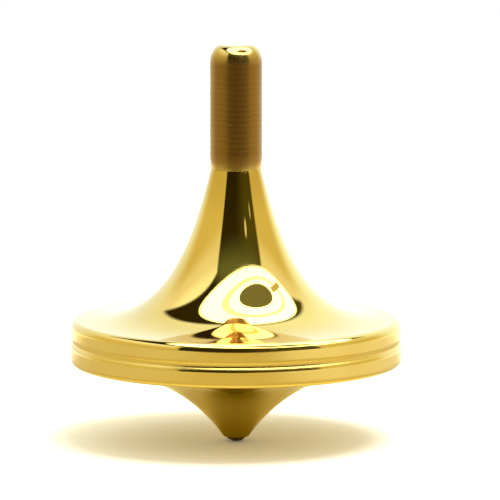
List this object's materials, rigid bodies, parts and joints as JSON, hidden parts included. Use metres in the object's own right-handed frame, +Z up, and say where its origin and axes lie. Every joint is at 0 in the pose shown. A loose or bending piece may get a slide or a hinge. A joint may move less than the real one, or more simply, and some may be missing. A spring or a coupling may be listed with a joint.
{
  "type": "spinning top",
  "caption": "Brass finger spinning top: ribbed grip stem, polished flared body with a grooved heavy rim, and a hard ball in its rounded nose to spin on.",
  "frame": {"origin": "the point of the tip ball that touches the table, on the spin axis", "axes": "+Z up the spin axis towards the stem's end; the top is round about it, so X and Y are any two directions across"},
  "size_m": [0.0286, 0.0286, 0.0345],
  "materials": {
    "ribbed_stem": "satin, with fine turned ribs round the grip",
    "polished_brass": "mirror polished, with faint turning lines",
    "hard_ball": "dark, polished smooth"
  },
  "bodies": {
    "root": {"stem": "ribbed_stem", "flywheel": "polished_brass", "tip_ball": "hard_ball"}
  },
  "joints": []
}
